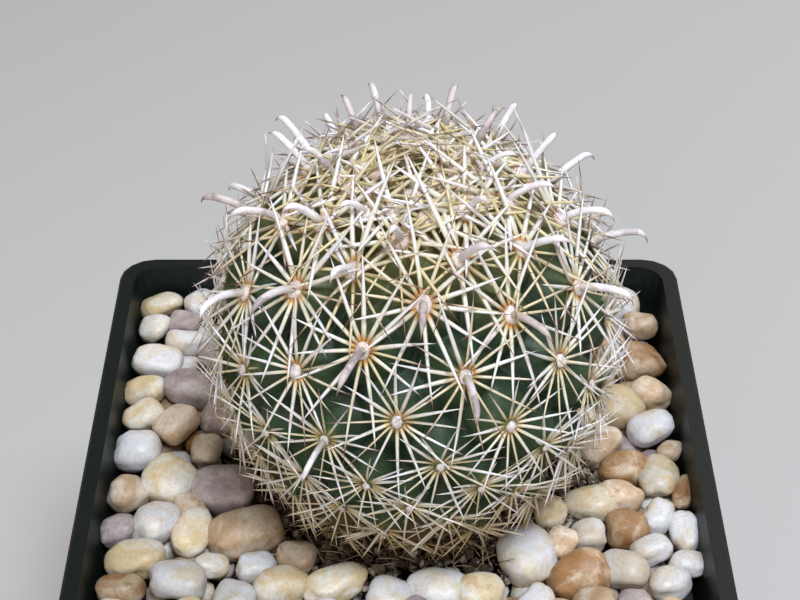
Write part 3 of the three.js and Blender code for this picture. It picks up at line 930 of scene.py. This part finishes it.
stones = {
    "pale": [
        (-39, 33, 5.5, 5, 80), (-32, 39, 6, 5.5, 40), (-33.5, 29.5, 7, 5, 10), (-37.5, 24.5, 8.5, 6, -5),
        (-38.8, 4, 7.5, 6.5, 0), (-34.5, -11.5, 8, 7, 70), (-30.5, -22.5, 8.5, 6.5, -8),
        (-1, -25.5, 7, 6, -10), (5.5, -24, 8.5, 6.5, 5), (17.8, -17.5, 10.5, 8, 100), (27, -13.5, 5.5, 5, 0),
        (31, -20.5, 7, 6, -20), (36.8, -9.8, 6.5, 5, 60), (35.2, -16.5, 6, 5, 20), (37.8, 8.8, 7.5, 5.5, 20),
        (40.4, -13, 7, 4.5, 80), (37.2, -23, 6, 5.5, 60), (-19.5, -20, 6, 5, 10), (40, -19.2, 5.5, 4.5, 0),
    ],
    "cream": [
        (-38.5, 38.5, 7, 5.5, 10), (-39, 17.5, 6.5, 5.5, 0), (-38.5, 11.5, 6.5, 5.5, 40),
        (-33, -2.5, 9.5, 8, 70), (-29, -13, 8.5, 5.5, 70), (-36.5, -18.5, 8.5, 6, 12),
        (-16, -23.5, 8.5, 6, 38), (-8.5, -23, 10, 5.5, 22), (11.5, -24.8, 7.5, 6, 0), (21.5, -9.5, 6, 5, 60),
        (27.5, -7, 8.5, 6.5, -20), (-25.8, -19.5, 5, 4, 30), (32, 34.5, 6.5, 5.5, 30), (31.5, 21, 6, 5, 70),
        (38, -1.5, 9.5, 6, 80), (33.5, 14, 8, 7.5, 20),
    ],
    "tan": [
        (-33.5, 9.5, 7.5, 6.5, 60), (-28.5, 4.5, 7.5, 4.5, 85), (-21.5, -13.5, 11.5, 8, 22),
        (22.8, -15.2, 5.5, 4.5, 60), (38.8, 34, 6, 5.5, 0), (38.8, 16.5, 6.5, 6, -30),
        (40.2, 4, 4.5, 3.5, 60), (30, 5, 7.5, 6, 60), (-39.2, -5, 6.5, 6, 30), (32, -5.8, 6.5, 6, 20),
        (32.5, 28, 7, 6, -20),
    ],
    "rust": [
        (-38.2, -24, 7, 5.5, 5), (24.8, -21.2, 9, 7, 15), (32.2, -12.5, 6.5, 6, 0),
        (38, 24.5, 8, 7, 15), (33, 0, 7.5, 5.5, 0), (41, -5, 7, 3, 80),
    ],
    "mauve": [
        (-34.5, 34, 5.5, 5, 0), (-29.5, 25.5, 5, 4, 70), (-32, 18, 8.5, 6.5, -15), (-27, 11, 6.5, 5.5, -30),
        (-25, -4.5, 10.5, 8, -5), (-39.4, -13, 5.5, 5, 10),
    ],
}

# Rule for the stones that the list leaves out, in mm
fill = dict(
    seed=41,
    tries=4000,
    smallest=5.0,
    largest=8.0,
    narrowest=0.7,  # of the length, and what a random draw adds
    widthSpread=0.25,
    overlap=0.84,
    innerHalf=42.6,
    fromWall=0.3,
    fromStem=25,  # bare soil round the stem's foot
    kinds=("pale", "cream", "tan", "cream", "pale", "rust", "mauve", "tan"),
    flatness=0.75,
    tilt=0.5,
)

# Lower layer: a jittered grid of smaller stones, in mm
lower = dict(
    spacing=5.0,
    rowShare=0.87,  # of the spacing, from row to row
    jitter=1.6,
    half=41.6,
    fromWall=2.2,
    fromStem=24,
    smallest=4.6,
    lengthSpread=2.4,
    width=0.8,  # of the length
)

# How each layer of stones is placed and grown
stoneLayers = dict(
    Stones=dict(belowRim=5.0, drawSeed=100, treeSeed=0, detail=4),
    LowerStones=dict(belowRim=5.0 + 3.1, drawSeed=200, treeSeed=5, detail=2),
)

# Shape of a stone, which the dried flower also takes
stoneShape = dict(
    detail=3,
    lumps=0.2,
    boxiness=2.6,
    cutDepth=0.4,
    seed=3,
)


def fromStem(x, y):
    return hypot(x - footPlace.x / mm, y - footPlace.y / mm)


def layStones():
    draw = makeRandom(fill["seed"])
    laid = [(*stone, kind) for kind, listed in stones.items() for stone in listed]
    for _ in range(fill["tries"]):
        length = between(fill["smallest"], fill["largest"], next(draw))
        width = length * (fill["narrowest"] + fill["widthSpread"] * next(draw))
        edge = fill["innerHalf"] - fill["fromWall"] - length / 2
        x = (2 * next(draw) - 1) * edge
        y = (2 * next(draw) - 1) * edge
        turn = 180 * next(draw)
        clear = all(
            hypot(x - other[0], y - other[1])
            > fill["overlap"] * (length + width + other[2] + other[3]) / 4
            for other in laid
        )
        if clear and fromStem(x, y) > fill["fromStem"]:
            kind = fill["kinds"][len(laid) % len(fill["kinds"])]
            laid.append((x, y, length, width, turn, kind))
    return laid


def layLowerStones():
    draw = makeRandom(fill["seed"] + 1)
    step = lower["spacing"]
    rowStep = step * lower["rowShare"]
    half = lower["half"] - lower["fromWall"]
    rows = int(half / rowStep)
    columns = int(half / step)
    laid = []
    for row in range(-rows, rows + 1):
        for column in range(-columns, columns + 1):
            x = (column + 0.5 * (row % 2)) * step + (next(draw) - 0.5) * lower["jitter"]
            y = row * step * lower["rowShare"] + (next(draw) - 0.5) * lower["jitter"]
            length = lower["smallest"] + lower["lengthSpread"] * next(draw)
            kind = fill["kinds"][int(next(draw) * len(fill["kinds"]))]
            turn = 180 * next(draw)
            fromMiddle = max(abs(x), abs(y))
            if fromMiddle < half and fromStem(x, y) > lower["fromStem"]:
                length = min(length, 2 * (lower["half"] - fromMiddle))
                laid.append((x, y, length, length * lower["width"], turn, kind))
    return laid


def stoneTree():
    tree, given = newGeometryTree("stones", stoneShape, *stoneShape)
    seed = given["seed"]
    place = position(tree)
    turn, size, unit, middle = readVectors(tree, "turn", "size", "unitPlace", "middle")
    lump = store(ball(tree, given["detail"]), unitPlace=place)
    placed = placeCopies(given["Geometry"], lump, eulerTurn(turn), size)
    placed = store(placed, "INSTANCE", middle=place, tone=randomValue(0, 1, seed))
    flats = [f"flat{number}" for number in range(3)]
    for number, name in enumerate(flats):
        placed = store(placed, "INSTANCE", **{name: randomDirection(seed + (10 + number))})
    lumps = noise(unit * 0.55 + middle * 900, 1.6, 2, 0.5) - 0.5
    factor = lumps * given["lumps"] * 2 + 0.99
    powers = [part.maths("ABSOLUTE").maths("POWER", given["boxiness"]) for part in unit.parts()]
    boxy = powers[0] + powers[1] + powers[2]
    factor = factor * boxy.maths("POWER", -1 / given["boxiness"])
    for flat in readVectors(tree, *flats):
        facing = unit.maths("DOT_PRODUCT", flat).also("Value")
        factor = factor - (facing - 0.62).maths("MAXIMUM", 0) * given["cutDepth"]
    endTree(setPosition(realize(placed), Position=middle + (place - middle) * factor), given)
    return tree


# Colours of each kind of stone: main, cloud and stain, with the share of stain and the roughness
stoneKinds = {
    "pale": ((0.60, 0.61, 0.65), (0.56, 0.50, 0.41), (0.50, 0.31, 0.14), 0.35, 0.42),
    "cream": ((0.57, 0.46, 0.28), (0.62, 0.60, 0.55), (0.47, 0.27, 0.10), 0.5, 0.42),
    "tan": ((0.47, 0.33, 0.21), (0.64, 0.55, 0.45), (0.30, 0.16, 0.075), 0.5, 0.46),
    "rust": ((0.28, 0.145, 0.06), (0.47, 0.36, 0.24), (0.15, 0.065, 0.03), 0.55, 0.44),
    "mauve": ((0.31, 0.25, 0.255), (0.48, 0.425, 0.42), (0.19, 0.13, 0.13), 0.5, 0.46),
}
clearKinds = ("pale", "cream")  # let a little light through
stoneInputs = {"Main": "Color", "Cloud": "Color", "Stain": "Color", "Stain share": "Float", "Tone": "Float"}


def stoneFaceGroup():
    group = bpy.data.node_groups.new("stoneFace", "ShaderNodeTree")
    for label, kind in stoneInputs.items():
        newSocket(group, label, kind)
    newSocket(group, "Color", "Color", "OUTPUT")
    newSocket(group, "Height", "Float", "OUTPUT")
    given = groupInputs(group)
    place = objectPlace(group)
    clouds = noise(place, 170, 4, 0.6, 0.8).mapped(0.44, 0.6)
    stains = noise(place, 330, 6, 0.7, 1.5)
    limit = 0.74 - given["Stain share"] * 0.35
    veins = (noise(place, 210, 5, 0.6, 2.5) - 0.5).maths("ABSOLUTE")
    veins = veins.mapped(0.015, 0.0, 0, 0.6) * given["Stain share"]
    grains = noise(place, 1900, 4, 0.7)
    bright = given["Tone"].mapped(0, 1, 0.8, 1.15)
    stained = stains.mapped(limit, limit + 0.14, 0, 0.75)
    colour = mixColours(clouds, given["Main"], given["Cloud"])
    colour = layer(colour, (stained, given["Stain"]), (veins, given["Stain"]))
    colour = mixColours(grains.mapped(0.48, 0.68, 0, 0.28), colour, given["Stain"], "MULTIPLY")
    inputs = {0: 1.0, 6: colour, 7: combine(bright, bright, bright)}
    colour = addNode(group, "ShaderNodeMix", inputs, 2, data_type="RGBA", blend_type="MULTIPLY")
    setInputs(group.nodes.new("NodeGroupOutput"), {"Color": colour, "Height": stains + grains * 0.6})
    return group


def stoneMaterial(kind, group):
    *colours, rough = stoneKinds[kind]
    material, place = newMaterial(kind + "Stone")
    inputs = dict(zip(stoneInputs, (*colours, attribute(place, "tone"))))
    face = addNode(place.tree, "ShaderNodeGroup", inputs, "Color", node_tree=group)
    clear = 0.1 if kind in clearKinds else 0.0
    look = dict(Roughness=rough, Subsurface_Weight=clear, Subsurface_Scale=1.5 * mm)
    return endMaterial(material, face, face.also("Height"), 0.3, 0.2 * mm, **look)


def stonePoints(laid, belowRim, seed):
    draw = makeRandom(seed)
    places, sizes, turns = [], [], []
    for x, y, length, width, turn, _ in laid:
        height = fill["flatness"] * width
        places.append((x * mm, y * mm, rimHeight - belowRim * mm))
        sizes.append((length * mm / 2, width * mm / 2, height * mm / 2))
        tilts = [(next(draw) - 0.5) * fill["tilt"] for _ in range(2)]
        turns.append((*tilts, radians(turn)))
    return places, {"size": sizes, "turn": turns}


def makeStones(tree):
    group = stoneFaceGroup()
    laid = {"Stones": layStones(), "LowerStones": layLowerStones()}
    for number, kind in enumerate(stoneKinds):
        material = stoneMaterial(kind, group)
        for label, made in stoneLayers.items():
            own = [stone for stone in laid[label] if stone[5] == kind]
            points = stonePoints(own, made["belowRim"], made["drawSeed"] + number)
            settings = {"detail": made["detail"], "seed": 10 * number + made["treeSeed"]}
            dress(growPiece(kind + label, *points, tree, material, **settings), "gravel", "gravel")


# A dried flower left beside a tubercle at the right of the crown

driedFlower = dict(
    middle=(34.3, -3.6),  # polar angle and azimuth
    towards=(36.2, -10.0),  # polar angle and azimuth that its length points to
    lift=0.4 * mm,
    halfSizes=(2.4 * mm, 0.8 * mm, 0.7 * mm),
    detail=5,
    lumps=0.7,
    seed=9,
)


def makeDriedFlower(tree):
    ends = (driedFlower["middle"], driedFlower["towards"])
    directions = [np.array([globeDirection(radians(a), radians(b))]) for a, b in ends]
    radius = globe["coreRadius"] + tubercleHeights(directions[0]) + driedFlower["lift"]
    place, ahead = (Vector(placeOnGlobe(direction, radius)[0]) for direction in directions)
    along = (ahead - place).normalized()
    across = (place - globe["centre"]).cross(along).normalized()
    turn = Matrix((along, across, along.cross(across))).transposed().to_euler()
    layers = {"size": [driedFlower["halfSizes"]], "turn": [tuple(turn)]}
    piece = growPiece("driedFlower", [place], layers, tree, driedHusk(), **driedFlower)
    dress(piece, "cactus", "cactus")


# Flakes or clods that give both the colour and the relief
def crumblyMaterial(name, scale, detail, depth, roughness, *stops):
    material, place = newMaterial(name)
    lumps = noise(place, scale, detail, 0.7)
    return endMaterial(material, ramp(lumps, *stops), lumps, 0.9, depth, Roughness=roughness)


def driedHusk():
    stops = (0.35, (0.10, 0.10, 0.06)), (0.5, (0.26, 0.27, 0.20)), (0.7, (0.50, 0.52, 0.50))
    return crumblyMaterial("driedHusk", 1500, 5, 0.3 * mm, 0.75, *stops)


# Pot and soil keep their solids, with their own materials


def potPlastic():
    material, place = newMaterial("potPlastic")
    dusty = noise(place, 60, 5, 0.65).mapped(0.5, 0.75) * noise(place, 900, 3, 0.6).mapped(0.4, 0.65)
    colour = mixColours(dusty * 0.25, (0.004, 0.008, 0.007), (0.05, 0.046, 0.04))
    look = dict(Roughness=dusty.mapped(0, 1, 0.45, 0.65), Specular_IOR_Level=0.22)
    return endMaterial(material, colour, noise(place, 2200, 2, 0.5), 0.12, 0.05 * mm, **look)


def soilCrumb():
    stops = (0.3, (0.012, 0.007, 0.004)), (0.6, (0.045, 0.027, 0.016)), (0.8, (0.11, 0.075, 0.05))
    return crumblyMaterial("soilCrumb", 420, 6, 0.8 * mm, 0.95, *stops)


def dressSolids():
    for node, material in (("pot", potPlastic()), ("potting_soil", soilCrumb())):
        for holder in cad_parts[node].material_slots:
            holder.material = material


# Crumbs of soil, heaped a little round the stem's foot

mound = dict(
    innerRadius=15.5 * mm,
    outerRadius=27 * mm,
    innerHeight=soilTop + 6.2 * mm,
    outerHeight=soilTop + 3.4 * mm,
    thickness=1.4 * mm,  # of the layer of crumbs
    sunk=0.6,  # of the thickness, below the mound's height
    crumbs=3400,
    smallest=0.28 * mm,  # half the length of a crumb
    largest=0.85 * mm,
    width=(0.7, 0.3),  # of the length: the least, and what a random draw adds
    height=(0.6, 0.3),
    roughness=0.28,  # of a crumb's size
    seed=61,
)


def moundHeight(radius):
    share = (radius - mound["innerRadius"]) / (mound["outerRadius"] - mound["innerRadius"])
    return between(mound["innerHeight"], mound["outerHeight"], share)


def crumbTree():
    tree, given = newGeometryTree("soilCrumbs", mound, "roughness", "seed")
    seed = given["seed"]
    turn, size = readVectors(tree, "turn", "size")
    placed = placeCopies(given["Geometry"], ball(tree, 1), eulerTurn(turn), size)
    whole = realize(store(placed, "INSTANCE", tone=randomValue(0, 1, seed), size=size))
    stray = randomDirection(seed + 1) * given["roughness"]
    endTree(setPosition(whole, Offset=stray * size), given, False)
    return tree


def makeCrumbs():
    draw = makeRandom(mound["seed"])
    near, far = mound["innerRadius"], mound["outerRadius"]
    places, sizes, turns = [], [], []
    for _ in range(mound["crumbs"]):
        radius = sqrt(between(near**2, far**2, next(draw)))
        turn = 2 * pi * next(draw)
        x = footPlace.x + radius * cos(turn)
        y = footPlace.y + radius * sin(turn)
        places.append((x, y, moundHeight(radius) + (next(draw) - mound["sunk"]) * mound["thickness"]))
        size = between(mound["smallest"], mound["largest"], next(draw) ** 2)
        shares = [least + more * next(draw) for least, more in (mound["width"], mound["height"])]
        sizes.append((size, size * shares[0], size * shares[1]))
        turns.append([6 * next(draw) for _ in range(3)])
    layers = {"size": sizes, "turn": turns}
    dress(growPiece("soilCrumbs", places, layers, crumbTree(), crumbEarth()), "soil")


def crumbEarth():
    material, place = newMaterial("crumbEarth")
    fine = noise(place, 1600, 4, 0.7)
    colour = ramp(
        attribute(place, "tone"),
        (0.0, (0.04, 0.025, 0.015)),
        (0.6, (0.10, 0.068, 0.042)),
        (0.84, (0.18, 0.13, 0.085)),
        (0.93, (0.42, 0.36, 0.28)),
    )
    colour = layer(colour, (fine.mapped(0.4, 0.65, 0, 0.7), (0.014, 0.009, 0.006)))
    return endMaterial(material, colour, fine, 0.8, 0.2 * mm, Roughness=0.95)


addCamera()
addStudio()
print("studio set")
dressSolids()
print("pot and soil dressed")
makeStem()
spineTree = radialSpineTree()
horn = spineHorn()
makeRadialSpines(spineTree, horn)
makeDeadSpines(spineTree, horn)
makeHooks()
makeWool()
lumpTree = stoneTree()
makeDriedFlower(lumpTree)
makeStones(lumpTree)
makeCrumbs()
